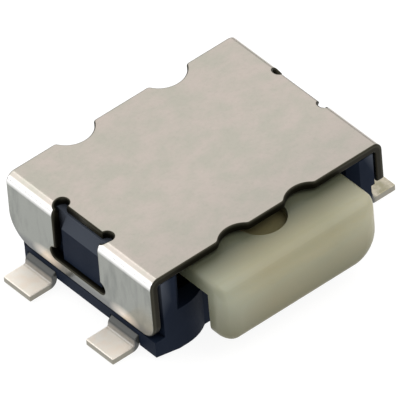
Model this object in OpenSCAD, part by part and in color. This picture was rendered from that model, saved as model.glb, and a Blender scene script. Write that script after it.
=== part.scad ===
// Side-pressed tactile switch for soldering flat on a board, in millimetres.
// The origin is the middle of the body's footprint on the board. +Y points to the back, the button is at -Y.

/* [Cover] */
// Width of the cover across its two side walls
cover_w = 4.7; // [4.5:0.05:5.4]
// Depth of the cover from its front edge to its rear edge
cover_d = 3.5; // [3.4:0.05:4]
// Height of the cover's top face above the board
cover_top = 1.65; // [1.6:0.01:1.8]
// Thickness of the cover's sheet
sheet_t = 0.15; // [0.1:0.01:0.18]
// Outer radius of the bends along the two sides
bend_r = 0.18; // [0.16:0.01:0.3]
// Radius of each wall's lower rear corner
wall_rear_r = 0.5; // [0.2:0.05:0.6]
// Radius of each wall's lower front corner
wall_front_r = 0.3; // [0.1:0.05:0.4]
// Width of the window in each wall
window_w = 1.08; // [0.8:0.02:1.3]
// How far each window's middle lies behind the body's middle
window_y = 0.09; // [0:0.01:0.15]
// How far the left window bites into the top, from the side wall's outer face
left_reach = 0.22; // [0.2:0.01:0.3]
// How far the right window bites into the top, from the side wall's outer face
right_reach = 0.09; // [0.06:0.01:0.3]
// Height of the rail that closes each window at the bottom
rail_h = 0.2; // [0.12:0.01:0.3]
// Radius of the stress relief at each corner of a window
relief_r = 0.11; // [0.06:0.01:0.14]
// Distance of each rear scallop from the middle
rear_scallop_x = 0.945; // [0.8:0.05:1.2]
// Radius of the rear scallops
rear_scallop_r = 0.42; // [0.3:0.02:0.5]
// Depth of the rear scallops
rear_scallop_depth = 0.25; // [0.1:0.01:0.3]
// Distance of each front scallop from the middle
front_scallop_x = 0.67; // [0.6:0.01:0.9]
// Radius of the front scallops
front_scallop_r = 0.4; // [0.3:0.02:0.5]
// Depth of the front scallops
front_scallop_depth = 0.14; // [0.05:0.01:0.2]
// Distance from the front edge to the rear of the notch at the right front corner
notch_d = 0.4; // [0.36:0.01:0.41]
// Height of the notch's upper edge above the board
notch_top = 0.87; // [0.6:0.01:1]
// Distance from the cover's side to the notch's inner face in the housing
notch_in = 0.27; // [0.24:0.01:0.3]

/* [Housing] */
// Height of the flange's top face, on which the cover's walls stand
flange_top = 0.4; // [0.38:0.01:0.45]
// Height of the flange's lower outer edge above the board
flange_low = 0.1; // [0.05:0.01:0.14]
// Distance from the middle at which the underside starts to slope up
base_flat = 1.88; // [1.7:0.01:2]
// Distance from the middle to the flange's rear end
flange_rear = 1.42; // [1.4:0.01:1.5]
// Gap between the housing's sides and the cover's walls
core_gap = 0.05; // [0.02:0.01:0.08]
// Distance from the cover's rear edge to the housing's rear face
rear_inset = 0.05; // [0:0.01:0.1]
// Slope at the top of the housing's rear face
rear_bevel = 0.22; // [0.1:0.01:0.24]
// Thickness of the rear wall
rear_wall = 0.3; // [0.28:0.01:0.4]
// Depth of the front wall from front to back
front_wall = 0.35; // [0.32:0.01:0.4]
// Height of the front wall's top edge, under the plunger's plate
ledge_z = 0.8; // [0.7:0.01:0.9]
// How far the middle of the front wall stands back
front_setback = 0.15; // [0.05:0.01:0.18]
// Radius by which the front wall turns back at each side
front_turn_r = 0.8; // [0.4:0.05:1]
// Depth of the two front pillars
pillar_d = 0.3; // [0.2:0.01:0.32]
// Slope on each pillar's inner front edge
pillar_bevel = 0.15; // [0.05:0.01:0.2]
// Thickness of the housing's upper side walls, outside the plunger's plate
side_wall = 0.17; // [0.12:0.01:0.2]
// Width of each latch lug
lug_w = 0.92; // [0.6:0.02:0.95]
// How far each lug's middle lies behind the body's middle
lug_y = 0.06; // [0:0.01:0.1]
// How far each lug stands out through the cover's wall
lug_out = 0.12; // [0.08:0.01:0.14]
// Height of each lug's upright face
lug_face_h = 0.63; // [0.4:0.01:0.7]
// Height of the slope above each lug's face
lug_slope_h = 0.2; // [0.1:0.01:0.22]
// Gap between each lug's underside and the cover's rail
lug_gap = 0.02; // [0.01:0.005:0.04]
// Gap round the dome in its recess
recess_gap = 0.05; // [0.04:0.01:0.08]

/* [Plunger] */
// Width of the button head
head_w = 3.17; // [2.8:0.01:3.3]
// Depth of the button head from back to front
head_d = 0.4; // [0.3:0.01:0.5]
// How far the head's front face stands in front of the cover
head_reach = 0.83; // [0.8:0.01:1]
// Height of the head's lower edge above the board
head_low = 0.37; // [0.3:0.01:0.5]
// Radius of the head's lower left corner, seen from the front
head_left_r = 0.2; // [0.1:0.01:0.5]
// Radius of the head's lower right corner, seen from the front
head_right_r = 0.5; // [0.1:0.01:0.55]
// Radius of the head's two upper corners, seen from the front
head_high_r = 0.1; // [0.04:0.01:0.2]
// Radius of the head's upright front edges
head_side_r = 0.25; // [0.1:0.01:0.3]
// Radius of the head's upper front edge
head_top_r = 0.3; // [0.1:0.01:0.38]
// Radius of the head's lower front edge
head_bottom_r = 0.12; // [0.05:0.01:0.2]
// How far the plate's neck reaches into the head, and into the plate's wide part
neck_root = 0.05; // [0.02:0.01:0.08]
// Thickness of the sliding plate
plate_t = 0.25; // [0.2:0.01:0.3]
// Gap between the plate and the cover above it
plate_top_gap = 0.05; // [0.03:0.01:0.08]
// Gap between the plate and what lies beside or under it
slide_gap = 0.03; // [0.02:0.01:0.05]
// Gap between the head's sides and the housing's pillars
pillar_gap = 0.135; // [0.1:0.005:0.2]
// Travel of the button
travel = 0.2; // [0.15:0.01:0.25]
// Gap left behind the plate when the button is fully pressed
back_gap = 0.1; // [0.06:0.01:0.15]
// Radius of the blind pocket in the plate's top
pocket_r = 0.42; // [0.3:0.01:0.45]
// Distance of the pocket's middle behind the cover's front edge
pocket_back = 0.15; // [0.1:0.01:0.2]
// Depth of the pocket
pocket_depth = 0.15; // [0.05:0.01:0.16]
// Width of the cam under the plate
cam_w = 0.8; // [0.6:0.02:1]
// Length of the cam's flat underside
cam_flat = 0.28; // [0.2:0.01:0.35]
// Gap between the cam's sloping face and the presser's
cam_gap = 0.015; // [0.01:0.001:0.02]
// Height of the cam's underside above the lower end of the presser's slope
cam_lift = 0.03; // [0.02:0.005:0.05]

/* [Switching parts] */
// Depth of the presser from front to back
presser_d = 0.7; // [0.6:0.02:0.8]
// Radius of the presser's foot
presser_foot_r = 0.45; // [0.42:0.01:0.5]
// Height of the presser's foot
presser_foot_h = 0.1; // [0.06:0.01:0.12]
// Length of the presser's flat top behind the slope
presser_flat = 0.3; // [0.28:0.01:0.34]
// Height of the sloping face, which is also its depth
slope_h = 0.4; // [0.36:0.01:0.42]
// Gap between the presser's top and the plunger's plate
presser_gap = 0.05; // [0.03:0.01:0.06]
// Thickness of the insulating film
film_t = 0.03; // [0.02:0.005:0.04]
// Width of the film
film_w = 2.8; // [2.7:0.05:3.4]
// Gap between the film's edges and the walls in front of it and behind it
film_edge_gap = 0.025; // [0.01:0.005:0.04]
// Height of the film's seat above the ring
film_lift = 0.02; // [0.01:0.005:0.03]
// Gap between the film's crown and the dome, and above the crown
film_gap = 0.01; // [0.005:0.001:0.01]
// Outer radius of the snap dome
dome_r = 1.25; // [1.1:0.01:1.26]
// Height of the snap dome
dome_h = 0.24; // [0.22:0.01:0.26]
// Thickness of the snap dome
dome_t = 0.04; // [0.03:0.005:0.05]

/* [Terminals] */
// Thickness of the lead frame's strip
lead_t = 0.12; // [0.1:0.01:0.13]
// Height of the lead frame's underside inside the housing
lead_z = 0.18; // [0.16:0.01:0.2]
// Width of the four feet
leg_w = 0.65; // [0.4:0.01:0.7]
// Distance of the feet in front of and behind the middle
leg_y = 1; // [0.9:0.01:1.05]
// Distance over the outer ends of the feet
span_w = 5.76; // [5.5:0.01:6.2]
// Distance from the cover's side to the start of the bend, inwards
bend_inset = 0.06; // [0.04:0.01:0.08]
// Gap between each leg and the housing beside it
leg_gap = 0.02; // [0.01:0.005:0.04]
// Gap between each leg's bend and the housing behind it
bend_gap = 0.05; // [0.03:0.01:0.08]
// Length by which each leg's full width reaches in past the start of the underside's slope
leg_hold = 0.1; // [0.05:0.01:0.2]
// Width of the strips inside the housing
strip_w = 0.36; // [0.3:0.01:0.4]
// Radius of the centre pad
pad_r = 0.35; // [0.25:0.01:0.5]
// How far the centre pad stands above the floor
pad_rise = 0.02; // [0.01:0.005:0.03]
// Width of the ring that carries the dome's rim
ring_w = 0.28; // [0.2:0.01:0.3]
// How far the ring reaches out past the dome's rim
ring_margin = 0.03; // [0.01:0.005:0.04]
// How far the ring stands above the floor
ring_rise = 0.04; // [0.035:0.005:0.05]
// Angle by which the ring falls short of the middle line at the front, each side
ring_gap_angle = 60; // [50:5:80]

/* [Hidden] */
$fn = 96;
// Extra length of a cut past the face that it leaves through
past = 0.5;

// Planes of the cover
side_x = cover_w / 2;
front_y = -cover_d / 2;
rear_y = cover_d / 2;
cover_under = cover_top - sheet_t;
rail_top = flange_top + rail_h;

// Planes of the housing
core_x = side_x - sheet_t - core_gap;
core_rear = rear_y - rear_inset;
cavity_rear = core_rear - rear_wall;
cavity_front = front_y + front_wall;
pillar_back = front_y + pillar_d;
plate_x = core_x - side_wall - slide_gap;
plate_top = cover_under - plate_top_gap;
plate_under = plate_top - plate_t;
rail_z = plate_under - slide_gap;
cavity_x = head_w / 2 + pillar_gap;
floor_z = lead_z + lead_t;

// Planes of the plunger
head_front = front_y - head_reach;
head_back = head_front + head_d;
ear_front = pillar_back + slide_gap;
plate_back = cavity_rear - back_gap - travel;

// Stack of switching parts from the floor upwards
ring_top = floor_z + ring_rise;
dome_apex = ring_top + dome_h;
dome_sphere = (dome_r * dome_r + dome_h * dome_h) / (2 * dome_h);
dome_centre = dome_apex - dome_sphere;
recess_r = dome_r + recess_gap;
film_seat = ring_top + film_lift;
film_d = cavity_rear - cavity_front - 2 * film_edge_gap;
film_apex = dome_apex + film_gap + film_t;
presser_low = film_apex + film_gap / 2;
presser_top = plate_under - presser_gap;
slope_low = presser_top - slope_h;
slope_rear = presser_d / 2 - presser_flat;
cam_low = slope_low + cam_gap * sqrt(2) + cam_lift;
cam_shift = slope_rear - presser_top - cam_gap * sqrt(2);

// Bend of the feet: two quarter turns that bring the strip down onto the board
lead_bend = lead_z / 2;
bend_x = side_x - bend_inset;
bend_z = lead_bend + lead_t / 2;
foot_x = bend_x + 2 * lead_bend;
leg_in = base_flat - leg_hold;

// Extrudes a drawing of X and Z from y = from to y = to
module along_y(from, to) {
    translate([0, to, 0]) rotate([90, 0, 0]) linear_extrude(to - from) children();
}

// Extrudes a drawing of Y and Z from x = from to x = to
module along_x(from, to) {
    translate([from, 0, 0]) rotate([90, 0, 90]) linear_extrude(to - from) children();
}

// Extrudes a drawing of X and Y from z = from to z = to
module along_z(from, to) {
    translate([0, 0, from]) linear_extrude(to - from) children();
}

// Its children, and their mirror image across the middle plane
module both_sides() {
    children();
    mirror([1, 0, 0]) children();
}

// Rectangle centred in x from y = low to y = high
module band(w, low, high) {
    translate([-w / 2, low]) square([w, high - low]);
}

// What is cut off to round a corner that points to (right, up), each 1 or -1
module corner_cut(x, y, r, right, up) {
    difference() {
        translate([right > 0 ? x - r : x - past, up > 0 ? y - r : y - past]) square(r + past);
        translate([x - right * r, y - up * r]) circle(r);
    }
}

// Bent sheet: flat top, two rounded bends and two upright walls
module cover_section() {
    difference() {
        band(cover_w, flange_top, cover_top);
        band(cover_w - 2 * sheet_t, flange_top - past, cover_under - bend_r + sheet_t);
        band(cover_w - 2 * bend_r, flange_top - past, cover_under);
        for (side = [-1, 1])
            translate([side * (side_x - bend_r), cover_top - bend_r]) circle(bend_r - sheet_t);
        corner_cut(side_x, cover_top, bend_r, 1, 1);
        corner_cut(-side_x, cover_top, bend_r, -1, 1);
    }
}

// Opening through the wall, the bend and the edge of the top, with round reliefs at its four corners
module window_cut(reach) {
    window_x = side_x - reach;
    inner_x = side_x - sheet_t - past;
    translate([inner_x, window_y - window_w / 2, rail_top])
        cube([sheet_t + 2 * past, window_w, cover_under - rail_top]);
    translate([window_x, window_y - window_w / 2, rail_top])
        cube([reach + past, window_w, cover_top + past - rail_top]);
    for (end = [-1, 1]) translate([0, window_y + end * window_w / 2, 0]) {
        translate([window_x, 0, cover_under - past]) cylinder(r = relief_r, h = sheet_t + 2 * past);
        translate([inner_x, 0, rail_top + relief_r]) rotate([0, 90, 0])
            cylinder(r = relief_r, h = sheet_t + 2 * past);
    }
}

// Notch at the right front corner, which leaves the foot there in view
module corner_notch(inner_x) {
    translate([inner_x, front_y - past, -past]) cube([side_x - inner_x + past, notch_d + past, notch_top + past]);
}

module scallop(x, y, r) {
    translate([x, y, cover_under - past]) cylinder(r = r, h = sheet_t + 2 * past);
}

module cover() {
    color([0.76, 0.74, 0.7]) difference() {
        along_y(front_y, rear_y) cover_section();
        window_cut(right_reach);
        mirror([1, 0, 0]) window_cut(left_reach);
        corner_notch(side_x - sheet_t - past);
        both_sides() scallop(rear_scallop_x, rear_y - rear_scallop_depth + rear_scallop_r, rear_scallop_r);
        both_sides() scallop(front_scallop_x, front_y + front_scallop_depth - front_scallop_r, front_scallop_r);
        along_x(-side_x - past, side_x + past) {
            corner_cut(rear_y, flange_top, wall_rear_r, 1, -1);
            corner_cut(front_y, flange_top, wall_front_r, -1, -1);
        }
    }
}

// Floor and flange: flat underside that slopes up to the flange's outer edge
module base_section() {
    polygon([
        [-base_flat, 0], [base_flat, 0], [side_x, flange_low], [side_x, flange_top],
        [-side_x, flange_top], [-side_x, flange_low]
    ]);
}

// Latch lug: upright face below, slope above for the cover's rail to ride over
module lug() {
    low = rail_top + lug_gap;
    high = low + lug_face_h + lug_slope_h;
    along_y(lug_y - lug_w / 2, lug_y + lug_w / 2) polygon([
        [core_x - sheet_t, low], [core_x + lug_out, low], [core_x + lug_out, low + lug_face_h],
        [core_x, high], [core_x - sheet_t, high]
    ]);
}

// Middle of the front wall, which stands back from the pillars and turns into them
module front_relief() {
    turn_x = cavity_x - pillar_bevel + front_setback;
    along_z(-past, ledge_z + past) difference() {
        band(2 * turn_x, front_y - past, front_y + front_setback);
        for (side = [-1, 1])
            translate([side * turn_x, front_y + front_turn_r]) circle(front_turn_r);
    }
}

module housing_body() {
    intersection() {
        union() {
            along_y(front_y, flange_rear) base_section();
            along_y(front_y, core_rear) band(2 * core_x, 0, cover_under);
        }
        along_x(-side_x, side_x) polygon([
            [front_y, 0], [core_rear, 0], [core_rear, cover_under - rear_bevel],
            [core_rear - rear_bevel, cover_under], [front_y, cover_under]
        ]);
        along_y(front_y, core_rear) polygon([
            [-base_flat, 0], [base_flat, 0], [side_x, flange_low], [side_x, cover_under],
            [-side_x, cover_under], [-side_x, flange_low]
        ]);
    }
    both_sides() lug();
}

module housing() {
    color([0.125, 0.153, 0.208]) difference() {
        housing_body();
        // space for the plunger's plate, then the lower cavity and the dome's recess
        along_z(rail_z, cover_under + past)
            translate([-core_x + side_wall, pillar_back])
                square([2 * (core_x - side_wall), cavity_rear - pillar_back]);
        along_z(film_seat, cover_under + past)
            translate([-cavity_x, cavity_front]) square([2 * cavity_x, cavity_rear - cavity_front]);
        along_z(floor_z, film_seat + past) circle(recess_r);
        // way out over the front wall, with the pillars' inner edges sloped
        along_z(ledge_z, cover_under + past) {
            translate([-cavity_x, front_y - past]) square([2 * cavity_x, front_wall + 2 * past]);
            both_sides() polygon([
                [cavity_x - past, front_y], [cavity_x - past, front_y - past],
                [cavity_x + pillar_bevel + past, front_y - past], [cavity_x + pillar_bevel, front_y],
                [cavity_x, front_y + pillar_bevel]
            ]);
        }
        front_relief();
        corner_notch(side_x - notch_in);
        // the flange's underside between the feet, and a way down for each foot's bend
        both_sides() translate([bend_x - bend_gap, -leg_y, -past]) cube([side_x, 2 * leg_y, lead_z + past]);
        both_sides() for (end = [-1, 1])
            translate([bend_x - bend_gap, end * leg_y - leg_w / 2 - leg_gap, -past])
                cube([side_x, leg_w + 2 * leg_gap, floor_z + past]);
        centre_contact_shape();
        outer_contact_shape();
    }
}

// Outline of the button head, seen from the front
module head_outline() {
    difference() {
        band(head_w, head_low, plate_top);
        corner_cut(-head_w / 2, head_low, head_left_r, -1, -1);
        corner_cut(head_w / 2, head_low, head_right_r, 1, -1);
        for (side = [-1, 1]) corner_cut(side * head_w / 2, plate_top, head_high_r, side, 1);
    }
}

// Head of the button: three outlines, from the front, the side and above, cut from one block
module head() {
    intersection() {
        along_y(head_front, head_back) head_outline();
        along_x(-head_w / 2, head_w / 2) difference() {
            translate([head_front, head_low]) square([head_d, plate_top - head_low]);
            corner_cut(head_front, plate_top, head_top_r, -1, 1);
            corner_cut(head_front, head_low, head_bottom_r, -1, -1);
        }
        along_z(head_low, plate_top) difference() {
            translate([-head_w / 2, head_front]) square([head_w, head_d]);
            for (side = [-1, 1]) corner_cut(side * head_w / 2, head_front, head_side_r, side, -1);
        }
    }
}

// Cam under the plate, whose rear face slopes at 45 degrees
module cam() {
    tip_y = cam_low + cam_shift;
    along_x(-cam_w / 2, cam_w / 2) polygon([
        [tip_y, cam_low], [plate_under + cam_shift, plate_under], [plate_under + cam_shift, plate_under + plate_t / 2],
        [tip_y - cam_flat, plate_under + plate_t / 2], [tip_y - cam_flat, cam_low]
    ]);
}

module plunger() {
    color([0.67, 0.66, 0.57]) difference() {
        union() {
            head();
            along_y(head_back - neck_root, ear_front + neck_root) intersection() {
                head_outline();
                band(head_w, plate_under, plate_top);
            }
            along_z(plate_under, plate_top)
                translate([-plate_x, ear_front]) square([2 * plate_x, plate_back - ear_front]);
            cam();
        }
        translate([0, front_y + pocket_back, plate_top - pocket_depth]) cylinder(r = pocket_r, h = pocket_depth + past);
    }
}

module presser() {
    color([0.85, 0.84, 0.78]) {
        translate([0, 0, presser_low]) cylinder(r = presser_foot_r, h = presser_foot_h);
        along_x(-cam_w / 2, cam_w / 2) polygon([
            [-presser_d / 2, presser_low], [presser_d / 2, presser_low], [presser_d / 2, presser_top],
            [slope_rear, presser_top], [slope_rear - slope_h, slope_low], [-presser_d / 2, slope_low]
        ]);
    }
}

// Shell of a sphere between two radii, from a level plane up, turned about Z
module cap(outer, t, level) {
    rotate_extrude() intersection() {
        translate([0, dome_centre]) difference() {
            circle(outer, $fn = 360);
            circle(outer - t, $fn = 360);
        }
        translate([0, level]) square([dome_sphere, dome_sphere]);
    }
}

module film() {
    film_sphere = dome_sphere + film_gap + film_t;
    brim_r = sqrt(pow(film_sphere - film_t / 2, 2) - pow(film_seat - dome_centre, 2));
    color([0.72, 0.5, 0.2, 0.6]) {
        cap(film_sphere, film_t, film_seat);
        along_z(film_seat, film_seat + film_t) difference() {
            translate([-film_w / 2, cavity_front + film_edge_gap]) square([film_w, film_d]);
            circle(brim_r);
        }
    }
}

module dome() {
    color([0.8, 0.8, 0.78]) cap(dome_sphere, dome_t, ring_top);
}

// Ring of which each bend of a leg is a quarter
module bend_ring() {
    difference() {
        circle(lead_bend + lead_t / 2);
        circle(lead_bend - lead_t / 2);
    }
}

// Section of one leg, from inside the housing to its foot on the board
module leg_section(inner_x) {
    translate([inner_x, lead_z]) square([bend_x - inner_x, lead_t]);
    translate([bend_x, bend_z]) intersection() {
        bend_ring();
        square(lead_bend + lead_t);
    }
    translate([foot_x, bend_z]) intersection() {
        bend_ring();
        translate([-lead_bend - lead_t, -lead_bend - lead_t]) square(lead_bend + lead_t);
    }
    translate([foot_x, 0]) square([span_w / 2 - foot_x, lead_t]);
}

// Strip across the housing with a leg at each end, at y
module strip(y) {
    both_sides() along_y(y - leg_w / 2, y + leg_w / 2) leg_section(leg_in);
    along_z(lead_z, floor_z) translate([-base_flat, y - strip_w / 2]) square([2 * base_flat, strip_w]);
}

// Front strip with a tongue that carries the pad under the dome's middle
module centre_contact_shape() {
    strip(-leg_y);
    along_z(lead_z, floor_z) translate([-strip_w / 2, -leg_y]) square([strip_w, leg_y]);
    along_z(lead_z, floor_z + pad_rise) circle(pad_r);
}

// Rear strip with a ring, open at the front, that carries the dome's rim
module outer_contact_shape() {
    strip(leg_y);
    outer_r = dome_r + ring_margin;
    along_z(lead_z, ring_top) difference() {
        circle(outer_r);
        circle(outer_r - ring_w);
        polygon([
            [0, 0], 2 * outer_r * [-sin(ring_gap_angle), -cos(ring_gap_angle)],
            2 * outer_r * [-sin(ring_gap_angle), -1], 2 * outer_r * [sin(ring_gap_angle), -1],
            2 * outer_r * [sin(ring_gap_angle), -cos(ring_gap_angle)]
        ]);
    }
}

module centre_contact() {
    color([0.9, 0.85, 0.78]) centre_contact_shape();
}

module outer_contact() {
    color([0.9, 0.85, 0.78]) outer_contact_shape();
}

cover();
housing();
plunger();
presser();
film();
dome();
centre_contact();
outer_contact();
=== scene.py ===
import math

import bmesh
import bpy
import numpy as np
from mathutils import Matrix, Vector
from mathutils.geometry import delaunay_2d_cdt


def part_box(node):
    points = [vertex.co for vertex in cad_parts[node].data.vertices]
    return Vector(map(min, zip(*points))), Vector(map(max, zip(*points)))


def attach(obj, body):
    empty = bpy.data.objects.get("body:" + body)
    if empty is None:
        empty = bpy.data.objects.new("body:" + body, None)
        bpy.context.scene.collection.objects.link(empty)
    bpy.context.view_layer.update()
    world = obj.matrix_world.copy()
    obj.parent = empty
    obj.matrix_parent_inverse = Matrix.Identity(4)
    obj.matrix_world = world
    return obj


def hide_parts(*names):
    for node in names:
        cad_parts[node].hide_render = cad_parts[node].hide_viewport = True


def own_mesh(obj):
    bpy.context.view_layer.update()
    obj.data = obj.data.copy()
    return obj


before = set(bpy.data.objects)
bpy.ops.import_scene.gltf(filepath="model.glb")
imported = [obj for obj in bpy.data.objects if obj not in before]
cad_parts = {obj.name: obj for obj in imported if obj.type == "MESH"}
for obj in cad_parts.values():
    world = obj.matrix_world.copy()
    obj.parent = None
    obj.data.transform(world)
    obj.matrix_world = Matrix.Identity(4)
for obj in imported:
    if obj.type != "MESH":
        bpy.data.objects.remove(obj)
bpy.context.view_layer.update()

mm = 0.001          # pieces are worked out in millimetres and become metres when they are whole
close = 1e-5        # places nearer to each other than this are one, mm
hair = close / 10   # finer still, for places on the lines of a bend, mm


def nodeBox(node):
    low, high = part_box(node)
    return np.array(low) / mm, np.array(high) / mm


def addToScene(name, data):
    thing = bpy.data.objects.new(name, data)
    bpy.context.scene.collection.objects.link(thing)
    return thing


# Camera: far away with a long lens, turned and rolled as the photograph is

view = {
    "turn": -36.85,                 # degrees round the object, 0 looks at the button
    "height": 42.15,                # degrees above the board
    "roll": 4.95,                   # degrees
    "pixelsPerMm": 64.42,
    "imageSize": 400,
    "aim": (0, 0, 0.8),             # a place in the middle of the body, mm
    "aimPixel": (196.82, 197.87),   # where it is seen, from the upper left
    "lens": 1500,
    "sensor": 36,
    "clip": (0.5, 4),               # nearest and farthest drawn, as shares of the distance
}


def placeCamera():
    turn, height, roll = [math.radians(view[part]) for part in ("turn", "height", "roll")]
    back = Vector((math.sin(turn) * math.cos(height), -math.cos(turn) * math.cos(height),
                   math.sin(height)))
    right = Vector((math.cos(turn), math.sin(turn), 0))
    up = back.cross(right)
    rolledRight = right * math.cos(roll) - up * math.sin(roll)
    rolledUp = right * math.sin(roll) + up * math.cos(roll)
    middle = view["imageSize"] / 2
    shiftRight, shiftDown = [(middle - pixel) / view["pixelsPerMm"] for pixel in view["aimPixel"]]
    distance = view["imageSize"] / view["pixelsPerMm"] * view["lens"] / view["sensor"]
    centre = Vector(view["aim"]) + rolledRight * shiftRight - rolledUp * shiftDown
    data = bpy.data.cameras.new("switchView")
    data.lens = view["lens"]
    data.sensor_width = view["sensor"]
    data.clip_start, data.clip_end = [distance * mm * share for share in view["clip"]]
    eye = addToScene("switchView", data)
    axes = Matrix((rolledRight, rolledUp, back)).transposed().to_4x4()
    eye.matrix_world = Matrix.Translation((centre + back * distance) * mm) @ axes
    bpy.context.scene.camera = eye


placeCamera()
print("camera placed")


# Pieces and their meshes

softening = {
    "steps": 2,
    "sharpAngle": 28,   # edges that turn by more than this are rounded, degrees
    "flatAngle": 0.5,   # faces that turn by less than this are made one, degrees
}


def pieceOf(name, mesh, finish):
    mesh.shade_smooth()
    mesh.materials.append(finish)
    return addToScene(name, mesh)


def newPiece(name, points, faces, finish, normals=None):
    mesh = bpy.data.meshes.new(name)
    mesh.from_pydata(np.asarray(points, float).tolist(), [], faces)
    piece = pieceOf(name, mesh, finish)
    if normals is not None:
        mesh.normals_split_custom_set_from_vertices(np.asarray(normals).tolist())
    return piece


def placesOf(piece):
    places = np.empty(len(piece.data.vertices) * 3)
    piece.data.vertices.foreach_get("co", places)
    return places.reshape(-1, 3)


def addSurfaceValue(piece, name, kind, values):
    # a value or a vector at each corner of the mesh, which a finish reads by its name
    layer = piece.data.attributes.new(name, kind, "POINT")
    field = "vector" if kind == "FLOAT_VECTOR" else "value"
    layer.data.foreach_set(field, np.asarray(values, float).ravel())


def tidyMesh(mesh, flatten=0.0, scale=1.0):
    # joins what coincides, turns the faces outwards and, if asked, makes flat areas whole
    shape = bmesh.new()
    shape.from_mesh(mesh)
    bmesh.ops.scale(shape, vec=(scale, scale, scale), verts=shape.verts)
    bmesh.ops.remove_doubles(shape, verts=shape.verts, dist=close)
    bmesh.ops.dissolve_degenerate(shape, edges=shape.edges, dist=close)
    if flatten:
        bmesh.ops.dissolve_limit(shape, angle_limit=math.radians(flatten), verts=shape.verts,
                                 edges=shape.edges)
    bmesh.ops.recalc_face_normals(shape, faces=shape.faces)
    shape.to_mesh(mesh)
    shape.free()


def applyModifiers(piece):
    bpy.context.view_layer.update()
    shaped = piece.evaluated_get(bpy.context.evaluated_depsgraph_get())
    final = bpy.data.meshes.new_from_object(shaped)
    piece.modifiers.clear()
    piece.data = final


def softenEdges(piece, width):
    # a small rounding along every sharp edge, with the flat faces kept flat to the eye
    bevel = piece.modifiers.new("edges", "BEVEL")
    bevel.width = width
    bevel.segments = softening["steps"]
    bevel.limit_method = "ANGLE"
    bevel.angle_limit = math.radians(softening["sharpAngle"])
    bevel.miter_outer = "MITER_ARC"
    flatten = piece.modifiers.new("flatFaces", "WEIGHTED_NORMAL")
    flatten.keep_sharp = True
    applyModifiers(piece)


def settle(piece, node, body):
    # from millimetres to metres; then the piece stands for its solid
    piece.data.transform(Matrix.Scale(mm, 4))
    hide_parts(node)
    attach(piece, body)


def mouldedCopy(node, name, finish, width):
    # a node's solid, its triangles joined into whole faces and its edges softened
    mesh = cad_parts[node].data.copy()
    mesh.name = name
    mesh.materials.clear()
    tidyMesh(mesh, softening["flatAngle"], 1 / mm)
    piece = pieceOf(name, mesh, finish)
    softenEdges(piece, width)
    return piece


# Finishes: noises and tones laid out in millimetres. A reading is any value that a tone can
# follow: a noise, a height, a distance or a value of the surface.

noiseRange = (0.3, 0.7)   # a noise lies between these nearly everywhere


def newFinish(name):
    finish = bpy.data.materials.new(name)
    finish.use_nodes = True
    return finish, finish.node_tree, finish.node_tree.nodes["Principled BSDF"]


def feed(tree, socket, value):
    if isinstance(value, bpy.types.NodeSocket):
        tree.links.new(value, socket)
    else:
        socket.default_value = value


def pattern(tree, place, scale, stretch=(1, 1, 1), detail=3, rough=0.5):
    # noise, squeezed along each axis by the stretch
    squeezed = tree.nodes.new("ShaderNodeMapping")
    squeezed.inputs["Scale"].default_value = stretch
    tree.links.new(place, squeezed.inputs["Vector"])
    noise = tree.nodes.new("ShaderNodeTexNoise")
    for socket, value in (("Scale", scale), ("Detail", detail), ("Roughness", rough)):
        noise.inputs[socket].default_value = value
    tree.links.new(squeezed.outputs["Vector"], noise.inputs["Vector"])
    return noise.outputs["Fac"]


def spread(tree, reading, start, end, low=0, high=1):
    # low up to the start of a span of the reading, high from its end, and evenly between
    change = tree.nodes.new("ShaderNodeMapRange")
    ends = {"From Min": start, "From Max": end, "To Min": low, "To Max": high}
    for socket, value in ends.items():
        change.inputs[socket].default_value = value
    tree.links.new(reading, change.inputs["Value"])
    return change.outputs["Result"]


def blendColours(tree, share, first, second):
    mix = tree.nodes.new("ShaderNodeMix")
    mix.data_type = "RGBA"
    tree.links.new(share, mix.inputs[0])
    for socket, colour in ((mix.inputs[6], first), (mix.inputs[7], second)):
        feed(tree, socket, (*colour, 1) if isinstance(colour, tuple) else colour)
    return mix.outputs[2]


def blendValues(tree, share, first, second):
    mix = tree.nodes.new("ShaderNodeMix")
    for socket, value in ((mix.inputs[0], share), (mix.inputs[2], first), (mix.inputs[3], second)):
        feed(tree, socket, value)
    return mix.outputs[0]


def toneOver(tree, colour, reading, tone, span, most=1):
    # a tone that comes in over a span of the reading, up to its greatest share
    return blendColours(tree, spread(tree, reading, *span, 0, most), colour, tone)


def bumpFrom(tree, shader, height, depth):
    bump = tree.nodes.new("ShaderNodeBump")
    bump.inputs["Distance"].default_value = depth * mm
    tree.links.new(height, bump.inputs["Height"])
    tree.links.new(bump.outputs["Normal"], shader.inputs["Normal"])


def objectMillimetres(tree):
    place = tree.nodes.new("ShaderNodeTexCoord")
    size = tree.nodes.new("ShaderNodeVectorMath")
    size.operation = "SCALE"
    size.inputs["Scale"].default_value = 1 / mm
    tree.links.new(place.outputs["Object"], size.inputs[0])
    return size.outputs["Vector"]


def partsOf(tree, vector):
    # its x, y and z, and the distance of x from the middle
    split = tree.nodes.new("ShaderNodeSeparateXYZ")
    tree.links.new(vector, split.inputs[0])
    size = tree.nodes.new("ShaderNodeMath")
    size.operation = "ABSOLUTE"
    tree.links.new(split.outputs[0], size.inputs[0])
    return (*split.outputs, size.outputs[0])


def surfaceValue(tree, name, output="Fac"):
    reader = tree.nodes.new("ShaderNodeAttribute")
    reader.attribute_name = name
    return reader.outputs[output]


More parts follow.
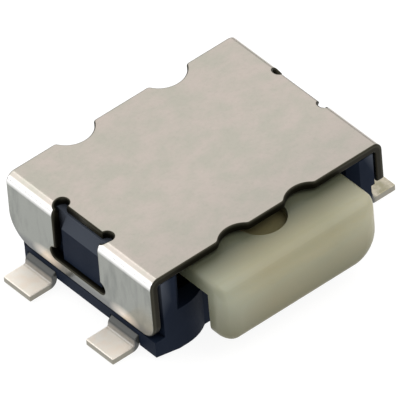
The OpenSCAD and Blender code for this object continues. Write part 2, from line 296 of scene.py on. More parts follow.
def ovalSpot(tree, place, centre, size):
    # full within the core of an oval, fading to nothing at its edge
    edge, core = 1, 0.1
    onOval = tree.nodes.new("ShaderNodeMapping")
    onOval.vector_type = "TEXTURE"
    onOval.inputs["Location"].default_value = (*centre, 0)
    onOval.inputs["Scale"].default_value = (*size, 1)
    tree.links.new(place, onOval.inputs["Vector"])
    reach = tree.nodes.new("ShaderNodeVectorMath")
    reach.operation = "LENGTH"
    tree.links.new(onOval.outputs["Vector"], reach.inputs[0])
    return spread(tree, reach.outputs["Value"], edge, core)


# On the blank, x is the distance across the bends, y runs along them and z is the height in the
# sheet from its middle, all in mm.

steelLook = {
    "clouds": {"scale": 2.1, "stretch": (1, 1.3, 1), "detail": 5, "rough": 0.6},
    "specks": {"scale": 15},
    "stains": {"scale": 1.3, "stretch": (0.7, 3, 1), "detail": 4, "rough": 0.6},
    "marks": {"scale": 1.6, "stretch": (1.2, 26, 1), "detail": 4, "rough": 0.6},   # of rolling
    "markDepth": 0.0002,                           # mm
    "warm": (0.508, 0.458, 0.418),
    "cool": {"tone": (0.452, 0.437, 0.384), "span": (0.38, 0.62)},
    "speckled": {"tone": (0.33, 0.32, 0.29), "span": (0.5, 0.8), "most": 0.15},
    "paintedFrontShade": {"tone": (0.33, 0.32, 0.29), "span": (-0.4, -1.6), "most": 0.24},   # painted shade, darker towards the front edge by the button
    # painted highlight: the bend is made near white
    "paintedBendHighlight": {"tone": (0.98, 0.97, 0.965), "span": (2.235, 2.26)},
    # painted shade: the walls darker than the top, though both are the same steel
    "wall": (0.275, 0.285, 0.262),
    "stained": {"tone": (0.17, 0.18, 0.168), "span": (0.5, 0.7), "most": 0.8},
    "wallSpan": (2.295, 2.345),                    # where the bend becomes the wall
    # painted shade, darker along the bottom of the walls
    "paintedWallFootShade": {"tone": (0.16, 0.165, 0.168), "span": (3.18, 3.3), "most": 0.8},
    "paintedFootReflection": (0.80, 0.72, 0.63),                   # painted reflection of the foot, bright on the wall above each foot
    "paintedFootReflectionPlaces": ((3.27, 0.84), (3.3, -1.02)),   # at both sides of the middle
    "paintedFootReflectionSize": (0.17, 0.38),
    "shadedBurnishedCut": (0.042, 0.04, 0.029),          # painted shade on the upper, burnished part of a punched edge
    "shadedTornCut": {"tone": (0.016, 0.0145, 0.009), "span": (0.035, 0.01)},   # painted shade, darker still, on its lower, torn part
    "cutSpan": (0.1, 0.4),                         # from face to punched edge
    "roughness": (0.19, 0.25),
    "cutRoughness": 0.5,
}


def rolledSteel():
    # cloudy tin-coloured sheet with stained walls; painted highlight on the bends, painted shade on
    # the
    # walls, their feet, the top's front and the punched edges, painted reflections of the feet on
    # the walls
    finish, tree, shader = newFinish("rolledSteel")
    blank = surfaceValue(tree, "blank", "Vector")
    _, along, height, fromMiddle = partsOf(tree, blank)
    clouds, specks, stains, marks = [pattern(tree, blank, **steelLook[noise])
                                     for noise in ("clouds", "specks", "stains", "marks")]
    face = toneOver(tree, steelLook["warm"], clouds, **steelLook["cool"])
    face = toneOver(tree, face, specks, **steelLook["speckled"])
    # painted shade, darker towards the front of the top
    face = toneOver(tree, face, along, **steelLook["paintedFrontShade"])
    # painted highlight along the bend
    face = toneOver(tree, face, fromMiddle, **steelLook["paintedBendHighlight"])
    # painted shade on the walls, with random stains over it
    wall = toneOver(tree, steelLook["wall"], stains, **steelLook["stained"])
    face = toneOver(tree, face, fromMiddle, wall, steelLook["wallSpan"])
    # painted shade along the bottom of the walls
    face = toneOver(tree, face, fromMiddle, **steelLook["paintedWallFootShade"])
    # painted reflections of the feet on the walls
    for x, y in steelLook["paintedFootReflectionPlaces"]:
        for centre in ((-x, y), (x, y)):
            spot = ovalSpot(tree, blank, centre, steelLook["paintedFootReflectionSize"])
            face = blendColours(tree, spot, face, steelLook["paintedFootReflection"])
    # painted shade on the punched edges
    punched = toneOver(tree, steelLook["shadedBurnishedCut"], height, **steelLook["shadedTornCut"])
    onCut = spread(tree, surfaceValue(tree, "cutEdge"), *steelLook["cutSpan"])
    gloss = spread(tree, specks, *noiseRange, *steelLook["roughness"])
    gloss = blendValues(tree, onCut, gloss, steelLook["cutRoughness"])
    feed(tree, shader.inputs["Base Color"], blendColours(tree, onCut, face, punched))
    feed(tree, shader.inputs["Roughness"], gloss)
    feed(tree, shader.inputs["Metallic"], 1)
    bumpFrom(tree, shader, marks, steelLook["markDepth"])
    return finish


# Moulded resins. A tone's row says which reading it follows, the span over which it comes in, its
# greatest share and its colour. x, y and z are places in mm, other names are values of the surface.

navyLook = {
    "colours": ((0.0062, 0.0106, 0.0215), (0.0125, 0.018, 0.032)),
    # painted highlight on the slopes of the latch lugs
    "tones": (("lugSlopeHighlight", (0.3, 0.9), 0.8, (0.07, 0.08, 0.10)),),
    "roughness": (0.40, 0.51),
    "shine": 0.025,
    "grainDepth": 0.0012,                                      # mm
}

ivoryLook = {
    "colours": ((0.345, 0.315, 0.197), (0.285, 0.29, 0.195)),
    "flow": (0.5, 1, 1.6),                                     # the colours are drawn out along x
    "tones": (
        ("x", (0.7, 1.55), 0.45, (0.50, 0.47, 0.35)),          # painted light, paler towards the right
        ("x", (-0.6, -1.4), 0.6, (0.35, 0.37, 0.29)),          # painted light, paler and greener towards the left
        ("x", (-1.46, -1.58), 0.3, (0.09, 0.097, 0.062)),      # painted shade on the left side
        ("z", (1.2, 0.4), 0.8, (0.10, 0.09, 0.04)),            # painted shade, darker towards the lower edge
        ("y", (-2.36, -1.8), 1, (0.09, 0.097, 0.062)),         # painted shadow of the cover on the top, darker towards the cover
        ("hollow", (0, 1), 1, (0.14, 0.125, 0.06)),            # painted shade in the pocket
    ),
    "roughness": (0.37, 0.48),
    "shine": 0.45,
    "grainDepth": 0.0008,
    "glow": {"Weight": 0.3, "Radius": (1.0, 0.85, 0.55), "Scale": 0.12 * mm},
}

presserLook = {
    "colours": ((0.62, 0.60, 0.52), (0.345, 0.315, 0.197)),
    "roughness": (0.40, 0.51),
    "shine": 0.5,
    "grainDepth": 0.0008,
}

moulding = {
    "slow": {"scale": 1.1, "rough": 0.55},   # change of colour
    "slowSpan": (0.28, 0.72),
    "grain": {"scale": 38, "rough": 0.6},    # of gloss and surface
}


def mouldedResin(name, look):
    # two colours that drift into each other, tones over them, and a fine grain
    finish, tree, shader = newFinish(name)
    place = objectMillimetres(tree)
    readings = dict(zip("xyz", partsOf(tree, place)))
    slow = pattern(tree, place, stretch=look.get("flow", (1, 1, 1)), **moulding["slow"])
    grain = pattern(tree, place, **moulding["grain"])
    first, second = look["colours"]
    colour = toneOver(tree, first, slow, second, moulding["slowSpan"])
    for source, span, most, tone in look.get("tones", ()):
        reading = readings[source] if source in readings else surfaceValue(tree, source)
        colour = toneOver(tree, colour, reading, tone, span, most)
    feed(tree, shader.inputs["Base Color"], colour)
    feed(tree, shader.inputs["Roughness"], spread(tree, grain, *noiseRange, *look["roughness"]))
    feed(tree, shader.inputs["Specular IOR Level"], look["shine"])
    for part, value in look.get("glow", {}).items():
        feed(tree, shader.inputs["Subsurface " + part], value)
    bumpFrom(tree, shader, grain, look["grainDepth"])
    return finish


stripLook = {
    "clouds": {"scale": 4, "detail": 4, "rough": 0.6},
    "marks": {"scale": 2, "stretch": (3, 30, 3), "detail": 4},
    "markDepth": 0.0003,                                               # mm
    "bright": (1.0, 0.95, 0.87),
    "dull": {"tone": (0.99, 0.89, 0.78), "span": (0.38, 0.62)},
    "rightFootShade": (0.355, 0.33, 0.225),                                      # painted shade on the right feet
    "rightFootShadePatches": {"span": (0.4, 0.62), "most": 0.5},                 # patches where the painted shade is half lifted
    "rightFootShadeSpan": (2.0, 2.5),                                            # mm to the right
    "side": {"tone": (0.27, 0.255, 0.21), "span": (0.114, 0.1)},       # height in mm
    # painted shade along the bends, in two tones
    "bend": (0.075, 0.078, 0.075),
    "bendDark": (0.06375, 0.0663, 0.06375),
    "footSpan": (2.42, 2.50),                                          # mm from the middle
    "metal": 0.28,
    "footRoughness": (0.36, 0.46),
    "bendRoughness": 0.2,
}


def platedStrip():
    # plated strip, bright and cloudy on top of the feet, darker on the cut sides, with painted
    # shade along the bends and on the right feet
    finish, tree, shader = newFinish("platedStrip")
    place = objectMillimetres(tree)
    right, _, height, fromMiddle = partsOf(tree, place)
    clouds = pattern(tree, place, **stripLook["clouds"])
    top = toneOver(tree, stripLook["bright"], clouds, **stripLook["dull"])
    # painted shade on the right feet, broken in patches
    rightFootShade = toneOver(tree, stripLook["rightFootShade"], clouds, top, **stripLook["rightFootShadePatches"])
    top = toneOver(tree, top, right, rightFootShade, stripLook["rightFootShadeSpan"])
    foot = toneOver(tree, top, height, **stripLook["side"])
    # painted shade along the bends
    bend = blendColours(tree, clouds, stripLook["bend"], stripLook["bendDark"])
    onFoot = spread(tree, fromMiddle, *stripLook["footSpan"])
    footGloss = spread(tree, clouds, *noiseRange, *stripLook["footRoughness"])
    gloss = blendValues(tree, onFoot, stripLook["bendRoughness"], footGloss)
    feed(tree, shader.inputs["Base Color"], blendColours(tree, onFoot, bend, foot))
    feed(tree, shader.inputs["Roughness"], gloss)
    feed(tree, shader.inputs["Metallic"], stripLook["metal"])
    bumpFrom(tree, shader, pattern(tree, place, **stripLook["marks"]), stripLook["markDepth"])
    return finish


domeLook = {
    "marks": {"scale": 2, "stretch": (18, 2, 2), "detail": 4},
    "markDepth": 0.0004,   # mm
    "colours": ((0.66, 0.65, 0.63), (0.56, 0.555, 0.54)),
    "roughness": (0.18, 0.3),
}


def domeSteel():
    # bright spring steel with the fine lines of its rolling
    finish, tree, shader = newFinish("domeSteel")
    marks = pattern(tree, objectMillimetres(tree), **domeLook["marks"])
    feed(tree, shader.inputs["Base Color"], blendColours(tree, marks, *domeLook["colours"]))
    feed(tree, shader.inputs["Roughness"], spread(tree, marks, *noiseRange, *domeLook["roughness"]))
    feed(tree, shader.inputs["Metallic"], 1)
    bumpFrom(tree, shader, marks, domeLook["markDepth"])
    return finish


filmLook = {
    "slow": {"scale": 1.5},
    "colours": ((0.17, 0.09, 0.022), (0.12, 0.06, 0.014)),
    "roughness": (0.14, 0.24),
    "cover": 0.6,   # the rest is seen through
}


def amberFilm():
    finish, tree, shader = newFinish("amberFilm")
    slow = pattern(tree, objectMillimetres(tree), **filmLook["slow"])
    feed(tree, shader.inputs["Base Color"], blendColours(tree, slow, *filmLook["colours"]))
    feed(tree, shader.inputs["Roughness"], spread(tree, slow, *noiseRange, *filmLook["roughness"]))
    feed(tree, shader.inputs["Alpha"], filmLook["cover"])
    return finish


steelFinish = rolledSteel()
navyFinish = mouldedResin("navyResin", navyLook)
ivoryFinish = mouldedResin("ivoryResin", ivoryLook)
presserFinish = mouldedResin("presserResin", presserLook)
stripFinish = platedStrip()
domeFinish = domeSteel()
filmFinish = amberFilm()
print("finishes mixed")


# Punched and bent sheet. Its outline is drawn on the flat blank as (s, y): s runs across the bends,
# y along them. Outlines go round with the metal on their left.

def arcPoints(x, y, radius, start, end, steps=18):
    # centre plus radius times (cosine, sine) of evenly spaced angles, in degrees
    angle = np.radians(np.linspace(start, end, steps + 1))
    return np.column_stack([x + radius * np.cos(angle), y + radius * np.sin(angle)])


def closedOutline(*stretches):
    points = np.concatenate(stretches)
    apart = np.linalg.norm(points - np.roll(points, 1, 0), axis=1) > close
    return points[apart]


def outwardMiter(loop):
    # sum of the right-hand normals of the two sides that meet, over one plus their dot product
    along = np.roll(loop, -1, 0) - loop
    along /= np.linalg.norm(along, axis=1, keepdims=True)
    side = np.column_stack([along[:, 1], -along[:, 0]])
    before = np.roll(side, 1, 0)
    return (side + before) / (1 + np.sum(side * before, axis=1, keepdims=True))


def cutAtBends(loop, miter, roll, lines):
    # a further point wherever the inset outline crosses a line s = constant
    inset = loop[:, 0] - roll * miter[:, 0]
    step = np.roll(inset, -1) - inset
    step[abs(step) < hair] = np.nan
    share = (lines[None, :] - inset[:, None]) / step[:, None]
    crossed = (share > hair) & (share < 1 - hair)
    corner, _ = np.nonzero(crossed)
    part = share[crossed][:, None]
    along = np.concatenate([np.arange(len(loop)), corner + part[:, 0]])
    order = np.argsort(along, kind="stable")

    def withCrossings(values):
        crossing = values[corner] * (1 - part) + np.roll(values, -1, 0)[corner] * part
        return np.concatenate([values, crossing])[order]

    return withCrossings(loop), withCrossings(miter)


def insideOutlines(places, outlines):
    # a place is inside if a line from it towards +s crosses the outlines an odd number of times
    first = np.concatenate(outlines)
    second = np.concatenate([np.roll(outline, -1, 0) for outline in outlines])
    s, y = places[:, :1], places[:, 1:]
    crossed = (first[:, 1] > y) != (second[:, 1] > y)
    rise = second[:, 1] - first[:, 1]
    rise[rise == 0] = np.nan
    reach = first[:, 0] + (y - first[:, 1]) * (second[:, 0] - first[:, 0]) / rise
    return np.sum(crossed & (reach > s), axis=1) % 2 == 1


def fillBlank(insets, lines):
    # triangles between the outlines, with an edge along every bend line
    points = np.concatenate(insets)
    edges = []
    start = 0
    for inset in insets:
        corner = np.arange(len(inset))
        edges.append(np.column_stack([corner, np.roll(corner, -1)]) + start)
        start += len(inset)
    for line in lines:
        onLine = np.nonzero(abs(points[:, 0] - line) < hair)[0]
        onLine = onLine[np.argsort(points[onLine, 1])]
        edges.append(onLine.reshape(-1, 2))
    filled = delaunay_2d_cdt([Vector(point) for point in points],
                             np.concatenate(edges).tolist(), [], 0, hair)
    sources = np.array([source[0] for source in filled[3]])
    triangles = sources[np.array(filled[2])]
    return triangles[insideOutlines(points[triangles].mean(axis=1), insets)]


def bendPath(s, start, legs):
    # middle line of the sheet: each leg (length, radius) adds its step up to s, straight where the
    # radius is 0, turning down where it is positive and back where it is negative
    reach = abs(s)
    x = np.full_like(reach, start[0])
    z = np.full_like(reach, start[1])
    turn = np.zeros_like(reach)
    done = 0
    angle = 0
    for length, radius in legs:
        part = np.clip(reach - done, 0, length)
        if radius:
            x += radius * (np.sin(angle + part / radius) - math.sin(angle))
            z += radius * (np.cos(angle + part / radius) - math.cos(angle))
            turn += part / radius
            angle += length / radius
        else:
            x += part * math.cos(angle)
            z -= part * math.sin(angle)
        done += length
    return x * np.sign(s), z, turn


def bendLines(legs, steps):
    # the values of s, on both sides of the middle, at which the blank is divided
    lines = []
    done = 0
    for length, radius in legs:
        if radius:
            lines.append(np.linspace(done, done + length, steps + 1))
        done += length
    lines = np.unique(np.round(np.concatenate(lines), 7))
    return np.concatenate([-lines[::-1], lines])


def bentSheet(name, outlines, stock, start, legs, finish):
    # the blank's two faces, joined by an edge rolled over at both sides, carried along the bend
    # path: a point is the middle line plus its height times the normal
    thickness, roll, rollSteps = stock["sheet"], stock["roll"], stock["rollSteps"]
    lines = bendLines(legs, stock["bendSteps"])
    cut = [cutAtBends(outline, outwardMiter(outline), roll, lines) for outline in outlines]
    loop = np.concatenate([part[0] for part in cut])
    miter = np.concatenate([part[1] for part in cut])
    insets = [outline - roll * out for outline, out in cut]
    triangles = fillBlank(insets, lines)

    sweep = np.radians(np.linspace(0, 90, rollSteps + 1))
    turns = np.concatenate([sweep, sweep[::-1]])
    sides = np.concatenate([np.ones(rollSteps + 1), -np.ones(rollSteps + 1)])
    count = len(loop)
    rolled = roll * (1 - np.sin(turns))[:, None, None]
    blank = (loop[None] - rolled * miter[None]).reshape(-1, 2)
    height = np.repeat(sides * (thickness / 2 - roll * (1 - np.cos(turns))), count)
    outward = miter / np.linalg.norm(miter, axis=1, keepdims=True)
    across = (np.sin(turns)[:, None, None] * outward[None]).reshape(-1, 2)
    upward = np.repeat(sides * np.cos(turns), count)

    hand = np.where(blank[:, 0] < 0, -1.0, 1.0)
    x, z, turn = bendPath(blank[:, 0], start, legs)
    points = np.column_stack([
        x + hand * height * np.sin(turn), blank[:, 1], z + height * np.cos(turn)])
    along = across[:, 0] * hand
    normals = np.column_stack([
        hand * (along * np.cos(turn) + upward * np.sin(turn)), across[:, 1],
        -along * np.sin(turn) + upward * np.cos(turn)])

    lowest = (len(turns) - 1) * count
    faces = triangles.tolist() + (triangles[:, ::-1] + lowest).tolist()
    first = 0
    for inset in insets:
        corner = np.arange(len(inset)) + first
        after = np.roll(corner, -1)
        for upper in range(0, lowest, count):
            lower = upper + count
            faces += np.column_stack([
                corner + upper, corner + lower, after + lower, after + upper]).tolist()
        first += len(inset)
    piece = newPiece(name, points, faces, finish, normals)
    addSurfaceValue(piece, "blank", "FLOAT_VECTOR", np.column_stack([blank, height]))
    addSurfaceValue(piece, "cutEdge", "FLOAT", np.repeat(np.sin(turns), count))
    return piece


# Cover. Bites reach into the blank from the wall's face; a relief's two radii lie along and across
# its bite.

cover = {
    "sheet": 0.15,
    "bendRadius": 0.18,   # outside
    "bendSteps": 12,
    "roll": 0.03,         # rounding of the punched edges
    "rollSteps": 4,
    "windowWidth": 1.08,
    "windowMiddle": 0.09,
    "leftWindow": {"bite": 0.22, "relief": (0.11, 0.11)},
    "rightWindow": {"bite": 0.115, "relief": (0.055, 0.095)},
    "reliefSteps": 24,
    "rail": 0.2,
    "railRelief": 0.11,
    "rearScallop": {"place": 0.945, "radius": 0.42, "depth": 0.25, "fillet": 0.07},
    "frontScallop": {"place": 0.67, "radius": 0.4, "depth": 0.14, "fillet": 0.12},
    "scallopSteps": 20,
    "filletSteps": 6,
    "rearCorner": 0.5,
    "frontCorner": 0.3,
    "notch": {"depth": 0.4, "top": 0.87, "corner": 0.04, "steps": 5},
}


def scallopedEdge(edge, scallop):
    # from left to right along y = edge with the metal above: a hollow arc at each side of the
    # middle, led in and out by a small arc that touches both the edge and the hollow
    radius, fillet, steps = scallop["radius"], scallop["fillet"], cover["filletSteps"]
    centre = edge + scallop["depth"] - radius
    filletY = edge + fillet
    filletX = math.sqrt((radius + fillet) ** 2 - (filletY - centre) ** 2)
    lean = math.degrees(math.atan2(filletY - centre, filletX))
    stretches = []
    for x in (-scallop["place"], scallop["place"]):
        stretches += [
            arcPoints(x - filletX, filletY, fillet, -90, -lean, steps),
            arcPoints(x, centre, radius, 180 - lean, lean, cover["scallopSteps"]),
            arcPoints(x + filletX, filletY, fillet, 180 + lean, 270, steps)]
    return np.concatenate(stretches)


def windowOutline(inner, outer, relief):
    # rectangle from s = inner to s = outer, with an oval relief centred on each of its inner
    # corners and a round one beside each outer corner
    low = cover["windowMiddle"] - cover["windowWidth"] / 2
    high = cover["windowMiddle"] + cover["windowWidth"] / 2
    rail, steps = cover["railRelief"], cover["reliefSteps"]
    oval = np.array(relief)
    return closedOutline(
        arcPoints(outer - rail, low, rail, 180, 360), arcPoints(outer - rail, high, rail, 0, 180),
        arcPoints(0, 0, 1, 0, 270, steps) * oval + (inner, high),
        arcPoints(0, 0, 1, 90, 360, steps) * oval + (inner, low))[::-1]


def makeCover():
    # the blank ends where its flat half, its bend and its wall add up to; the windows are cut over
    # the bends, and the right front corner is notched
    low, high = nodeBox("cover")
    side, top = high[0], high[2]
    front, rear = low[1], high[1]
    middleRadius = cover["bendRadius"] - cover["sheet"] / 2
    flat = side - cover["bendRadius"]
    turned = middleRadius * math.pi / 2
    wall = top - cover["bendRadius"] - low[2]
    end = flat + turned + wall
    frontCorner, rearCorner = cover["frontCorner"], cover["rearCorner"]
    corner, steps = cover["notch"]["corner"], cover["notch"]["steps"]
    notchStart = end - (cover["notch"]["top"] - low[2])
    notchRear = front + cover["notch"]["depth"]
    outer = closedOutline(
        arcPoints(-end + frontCorner, front + frontCorner, frontCorner, 180, 270),
        scallopedEdge(front, cover["frontScallop"]),
        arcPoints(notchStart - corner, front + corner, corner, -90, 0, steps),
        arcPoints(notchStart + corner, notchRear - corner, corner, 180, 90, steps),
        arcPoints(end - corner, notchRear + corner, corner, -90, 0, steps),
        arcPoints(end - rearCorner, rear - rearCorner, rearCorner, 0, 90),
        -scallopedEdge(-rear, cover["rearScallop"]),
        arcPoints(-end + rearCorner, rear - rearCorner, rearCorner, 90, 180))
    left, right = [
        windowOutline(side - window["bite"], end - cover["rail"], window["relief"])
        for window in (cover["leftWindow"], cover["rightWindow"])]
    piece = bentSheet(
        "coverSheet", [outer, (left * (-1, 1))[::-1], right], cover, (0, top - cover["sheet"] / 2),
        [(flat, 0), (turned, middleRadius), (wall, 0)], steelFinish)
    settle(piece, "cover", "base")


makeCover()
print("cover bent")


# Housing, the two contacts and the presser

moulded = {
    "housingEdge": 0.014,
    "contactEdge": 0.016,
    "presserEdge": 0.012,
    "lugFace": 0.652,      # from the cover's rail to the slope on top of a latch lug
    "lugReach": 0.45,      # the lugs stand within this of the cover's outside
}


def makeHousing():
    # the surface value is 1 on the slopes of the latch lugs, where the finish paints a highlight
    piece = mouldedCopy("housing", "housingMoulding", navyFinish, moulded["housingEdge"])
    (_, _, coverLow), (coverSide, _, _) = nodeBox("cover")
    x, _, z = placesOf(piece).T
    onLug = abs(x) > coverSide - moulded["lugReach"]
    lugSlopeHighlight = onLug & (z > coverLow + cover["rail"] + moulded["lugFace"])
    addSurfaceValue(piece, "lugSlopeHighlight", "FLOAT", lugSlopeHighlight)
    settle(piece, "housing", "base")


def makeContact(node, name):
    piece = mouldedCopy(node, name, stripFinish, moulded["contactEdge"])
    settle(piece, node, "base")


def makePresser():
    piece = mouldedCopy("presser", "presserStud", presserFinish, moulded["presserEdge"])
    settle(piece, "presser", "presser")


makeHousing()
makeContact("centre_contact", "centreContactStrip")
makeContact("outer_contact", "outerContactStrip")
makePresser()
print("housing, contacts and presser softened")


# Plunger. The rounding of each edge of the front face is (depth, width).

plunger = {
    "headDepth": 0.4,
    "neckWidth": 3.17,
    "plate": 0.25,
    "leftCorner": 0.2,      # lower corners, seen from the front
    "rightCorner": 0.5,
    "highCorner": 0.1,
    "topEdge": (0.3, 0.42),
    "sideEdge": (0.25, 0.32),
    "bottomEdge": (0.12, 0.14),
    "cornerSwell": 0.15,    # how much the upper corners widen towards the front
    "cornerLeast": 0.06,
    "cornerSteps": 10,
    "edgeSteps": 12,
    "earsAt": -1.42,
    "plateCorner": 0.02,
    "pocket": {"radius": 0.42, "y": -1.6, "depth": 0.15, "steps": 72, "lip": 0.02, "slack": 0.001},
    "cam": {"width": 0.8, "front": -0.6, "tip": -0.32, "rear": 0.079, "low": 0.801},
    "edge": 0.012,
}


def frontedSection(y, half, low, high, leftCorner, rightCorner, highCorner):
    # rounded rectangle in the plane of y: four arcs, from the lower left round by the right
    steps = plunger["cornerSteps"]
    outline = np.concatenate([
        arcPoints(-half + leftCorner, low + leftCorner, leftCorner, 180, 270, steps),
        arcPoints(half - rightCorner, low + rightCorner, rightCorner, 270, 360, steps),
        arcPoints(half - highCorner, high - highCorner, highCorner, 0, 90, steps),
        arcPoints(-half + highCorner, high - highCorner, highCorner, 90, 180, steps)])
    return np.column_stack([outline[:, 0], np.full(len(outline), y), outline[:, 1]])


def edgeInset(depth, edge):
    # a quarter ellipse's distance from its side at a depth behind the front face
    reach, width = edge
    return width * (1 - math.sqrt(1 - max(1 - depth / reach, 0) ** 2))


def loftedBody(name, rings, finish):
    # rings of equal count joined in turn, closed by a flat face at each end
    count = len(rings[0])
    corner = np.arange(count)
    after = np.roll(corner, -1)
    last = (len(rings) - 1) * count
    faces = [corner.tolist(), (corner[::-1] + last).tolist()]
    for ring in range(0, last, count):
        following = ring + count
        faces += np.column_stack([
            corner + ring, corner + following, after + following, after + ring]).tolist()
    piece = newPiece(name, np.concatenate(rings), faces, finish)
    tidyMesh(piece.data)
    return piece


def combine(piece, tool, operation):
    step = piece.modifiers.new(operation, "BOOLEAN")
    step.operation = operation
    step.solver = "EXACT"
    step.object = tool
    applyModifiers(piece)
    bpy.data.objects.remove(tool)


def headRings(front, half, low, high):
    # the front face grows to the head's outline over the depth of its rounded edges
    sweep = np.linspace(0, math.pi / 2, plunger["edgeSteps"] + 1)
    edges = (plunger["topEdge"], plunger["sideEdge"], plunger["bottomEdge"])
    deepest, _, shallowest = edges
    depths = np.concatenate([edge[0] * (1 - np.cos(sweep)) for edge in (deepest, shallowest)])
    rings = []
    for depth in np.unique(np.round(depths, 6)):
        top, side, bottom = [edgeInset(depth, edge) for edge in edges]
        shrink = (side + bottom) / 2
        rings.append(frontedSection(
            front + depth, half - side, low + bottom, high - top,
            max(plunger["leftCorner"] - shrink, plunger["cornerLeast"]),
            plunger["rightCorner"] - shrink,
            plunger["highCorner"] + (top + side) * plunger["cornerSwell"]))
    return rings


def sinkPocket(piece, top):
    # cut by a round block that stands 1 mm high on the pocket's bottom
    pocket = plunger["pocket"]
    circle = arcPoints(0, pocket["y"], pocket["radius"], 0, 360, pocket["steps"])[:-1]
    bottom = np.column_stack([circle, np.full(len(circle), top - pocket["depth"])])
    cutter = loftedBody("pocketCutter", [bottom, bottom + (0, 0, 1)], ivoryFinish)
    combine(piece, cutter, "DIFFERENCE")


def addCam(piece, under):
    # a sloping face from the tip up to the plate's underside; the block ends inside the plate
    cam = plunger["cam"]
    inside = under + plunger["plate"] / 2
    outline = np.array([(0, cam["tip"], cam["low"]), (0, cam["rear"], under),
                        (0, cam["rear"], inside), (0, cam["front"], inside),
                        (0, cam["front"], cam["low"])])
    aside = np.array((cam["width"] / 2, 0, 0))
    block = loftedBody("camBlock", [outline - aside, outline + aside], ivoryFinish)
    combine(piece, block, "UNION")


def markPocket(piece, top, under):
    # a surface value that grows from 0 at the pocket's lip to 1 just above its bottom, where the
    # finish paints shade
    pocket = plunger["pocket"]
    x, y, z = placesOf(piece).T
    reach = np.hypot(x, y - pocket["y"]) - pocket["radius"]
    inPocket = (reach < pocket["slack"]) & (z > under + close)
    sunk = (top - pocket["lip"] - z) / (pocket["depth"] - 2 * pocket["lip"])
    addSurfaceValue(piece, "hollow", "FLOAT", np.where(inPocket, np.clip(sunk, 0, 1), 0))


def makePlunger():
    # head, neck, plate and ears are one loft of rounded rectangles along y
    low, high = nodeBox("plunger")
    front, back = low[1], high[1]
    headLow, top, side = low[2], high[2], high[0]
    under = top - plunger["plate"]
    half = plunger["neckWidth"] / 2
    headBack, earsAt = front + plunger["headDepth"], plunger["earsAt"]
    corner, highCorner = plunger["plateCorner"], plunger["highCorner"]
    rings = headRings(front, half, headLow, top)
    rings += [
        frontedSection(headBack, half, headLow, top, plunger["leftCorner"],
                       plunger["rightCorner"], highCorner),
        frontedSection(headBack, half, under, top, corner, corner, highCorner),
        frontedSection(earsAt, half, under, top, corner, corner, highCorner),
        frontedSection(earsAt, side, under, top, corner, corner, corner),
        frontedSection(back, side, under, top, corner, corner, corner)]
    piece = loftedBody("plungerMoulding", rings, ivoryFinish)
    sinkPocket(piece, top)
    addCam(piece, under)
    softenEdges(piece, plunger["edge"])
    markPocket(piece, top, under)
    settle(piece, "plunger", "plunger")


makePlunger()
print("plunger moulded")


# Dome and film, in their rest shape. In the switch both are flattened as the presser comes down.

switching = {
    "domeSheet": 0.04,
    "filmSheet": 0.03,
    "rings": 24,
    "brimRings": 4,
    "turns": 120,
    "domeKeep": 0.17,   # share of the height that is left at the end of the press
    "filmKeep": 0.23,
}


def turnedShell(name, profile, turns, finish):
    # closed profile (radius, height) turned about the upright axis: radius times (cosine, sine)
    angle = np.linspace(0, 2 * math.pi, turns, endpoint=False)[:, None]
    radius, height = profile.T
    points = np.stack([radius * np.cos(angle), radius * np.sin(angle),
                       np.broadcast_to(height, (turns, len(height)))], axis=2).reshape(-1, 3)
    count = len(profile)
    spoke, place = np.meshgrid(np.arange(turns), np.arange(count), indexing="ij")
    here, there = spoke * count, (spoke + 1) % turns * count
    after = (place + 1) % count
    faces = np.stack([here + place, there + place, there + after, here + after], axis=2)
    piece = newPiece(name, points, faces.reshape(-1, 4).tolist(), finish)
    tidyMesh(piece.data)
    return piece


def sphereOf(rim, rise):
    # radius of the sphere through a rim and a crown
    return (rim ** 2 + rise ** 2) / (2 * rise)


def makeDome():
    # two arcs about one centre, from the crown to the rim's height
    low, high = nodeBox("dome")
    outer = sphereOf(high[0], high[2] - low[2])
    centre = high[2] - outer
    share = np.linspace(0, 1, switching["rings"] + 1)
    arcs = []
    for radius in (outer, outer - switching["domeSheet"]):
        reach = np.arccos((low[2] - centre) / radius) * share
        arcs.append(np.column_stack([radius * np.sin(reach), centre + radius * np.cos(reach)]))
    upper, lower = arcs
    profile = np.concatenate([upper, lower[::-1]])
    piece = turnedShell("snapDome", profile, switching["turns"], domeFinish)
    settle(piece, "dome", "base")
    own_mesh(piece)


def filmRings(low, high, fold):
    # distances from the middle: rings out to the fold, and from there to the film's border, which
    # is where a spoke meets the rectangle
    turns = switching["turns"]
    angle = (np.arange(turns) + 0.5) * 2 * math.pi / turns
    border = np.minimum(high[0] / abs(np.cos(angle)), high[1] / abs(np.sin(angle)))
    inCap, onBrim = [np.linspace(0, 1, rings + 1)[1:, None]
                     for rings in (switching["rings"], switching["brimRings"])]
    return angle, np.concatenate([fold * inCap * np.ones(turns), fold + (border - fold) * onBrim])


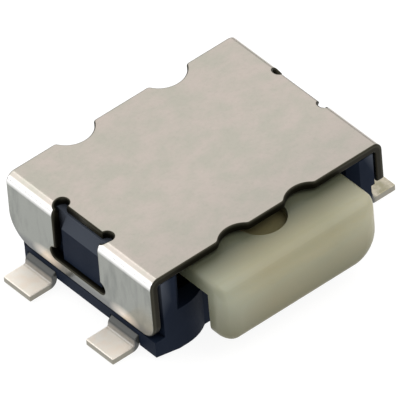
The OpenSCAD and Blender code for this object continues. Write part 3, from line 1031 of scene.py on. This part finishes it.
def makeFilm():
    # a flat brim out to the rectangle and a cap in the middle, a sphere about the dome's centre;
    # the lower side is the same one sheet further in
    low, high = nodeBox("film")
    domeLow, domeHigh = nodeBox("dome")
    sheet = switching["filmSheet"]
    centre = domeHigh[2] - sphereOf(domeHigh[0], domeHigh[2] - domeLow[2])
    crown = high[2] - centre
    brim = low[2] + sheet
    fold = math.sqrt(crown ** 2 - (brim - centre) ** 2)
    angle, reach = filmRings(low, high, fold)
    upper = np.where(reach < fold, centre + np.sqrt(np.maximum(crown ** 2 - reach ** 2, 0)), brim)
    underCrown = np.sqrt(np.maximum((crown - sheet) ** 2 - reach ** 2, 0))
    lower = np.maximum(centre + underCrown, low[2])
    layers = []
    for height, tip in ((upper, high[2]), (lower, high[2] - sheet)):
        layer = np.stack([reach * np.cos(angle), reach * np.sin(angle), height], axis=2)
        layers += [layer.reshape(-1, 3), [[0, 0, tip]]]

    turns = switching["turns"]
    count = reach.size + 1
    spoke = np.arange(turns)
    after = (spoke + 1) % turns
    fan = np.column_stack([np.full(turns, count - 1), spoke, after])
    ring = np.arange(len(reach) - 1)[:, None] * turns
    here, there = spoke + ring, after + ring
    quads = np.stack([here, here + turns, there + turns, there], axis=2).reshape(-1, 4)
    here, there = [corner + (len(reach) - 1) * turns for corner in (spoke, after)]
    rim = np.column_stack([here, here + count, there + count, there])
    faces = [*fan.tolist(), *(fan[:, ::-1] + count).tolist(), *quads.tolist(),
             *(quads[:, ::-1] + count).tolist(), *rim.tolist()]
    piece = newPiece("insulatingFilm", np.concatenate(layers), faces, filmFinish)
    settle(piece, "film", "base")
    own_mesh(piece)


makeDome()
makeFilm()
print("dome and film formed")


# Floor and light

studio = {
    "floorSize": 400,
    "floorBelow": 0.02,           # clear of the underside, so that the two never mix
    "floorColours": ((0.16, 0.16, 0.16), (0.1576, 0.1576, 0.1576)),
    "floorClouds": {"scale": 0.2, "detail": 2},
    "floorRoughness": 0.6,
    "floorGlow": 0.9,             # the table is lit from below
    "world": 0.6,
    "worldColour": (1, 0.985, 0.965),
    "lights": (
        # name, direction from the object, distance, size, light that falls on the object, colour
        ("rearLeftPanel", (-0.50, 0.58, 0.64), 60, 72, 0.52, (1, 1, 1)),
        ("rearPanel", (0.44, 0.59, 0.67), 90, 84, 0.155, (1, 0.985, 0.965)),
        ("frontPanel", (0.43, -0.42, 0.80), 80, 60, 0.42, (1, 0.98, 0.95)),
    ),
}


def layFloor():
    half, low = studio["floorSize"] / 2 * mm, -studio["floorBelow"] * mm
    corners = [(-half, -half, low), (half, -half, low), (half, half, low), (-half, half, low)]
    mesh = bpy.data.meshes.new("floor")
    mesh.from_pydata(corners, [], [(0, 1, 2, 3)])
    finish, tree, shader = newFinish("paleBoard")
    clouds = pattern(tree, objectMillimetres(tree), **studio["floorClouds"])
    feed(tree, shader.inputs["Base Color"], blendColours(tree, clouds, *studio["floorColours"]))
    feed(tree, shader.inputs["Roughness"], studio["floorRoughness"])
    feed(tree, shader.inputs["Emission Strength"], studio["floorGlow"])
    feed(tree, shader.inputs["Emission Color"], (1, 1, 1, 1))
    mesh.materials.append(finish)
    addToScene("floor", mesh)


def hangLight(name, direction, distance, size, falling, colour):
    data = bpy.data.lights.new(name, "AREA")
    data.shape = "SQUARE"
    data.size = size * mm
    data.energy = falling * (math.pi * distance * mm) ** 2
    data.color = colour
    lamp = addToScene(name, data)
    towards = Vector(direction).normalized()
    lamp.location = towards * distance * mm
    lamp.rotation_euler = towards.to_track_quat("Z", "Y").to_euler()


def lightWorld():
    world = bpy.data.worlds.new("studio")
    world.use_nodes = True
    sky = world.node_tree.nodes["Background"]
    sky.inputs["Color"].default_value = (*studio["worldColour"], 1)
    sky.inputs["Strength"].default_value = studio["world"]
    bpy.context.scene.world = world
    bpy.context.scene.view_settings.view_transform = "Standard"


layFloor()
for light in studio["lights"]:
    hangLight(*light)
lightWorld()
print("studio lit")
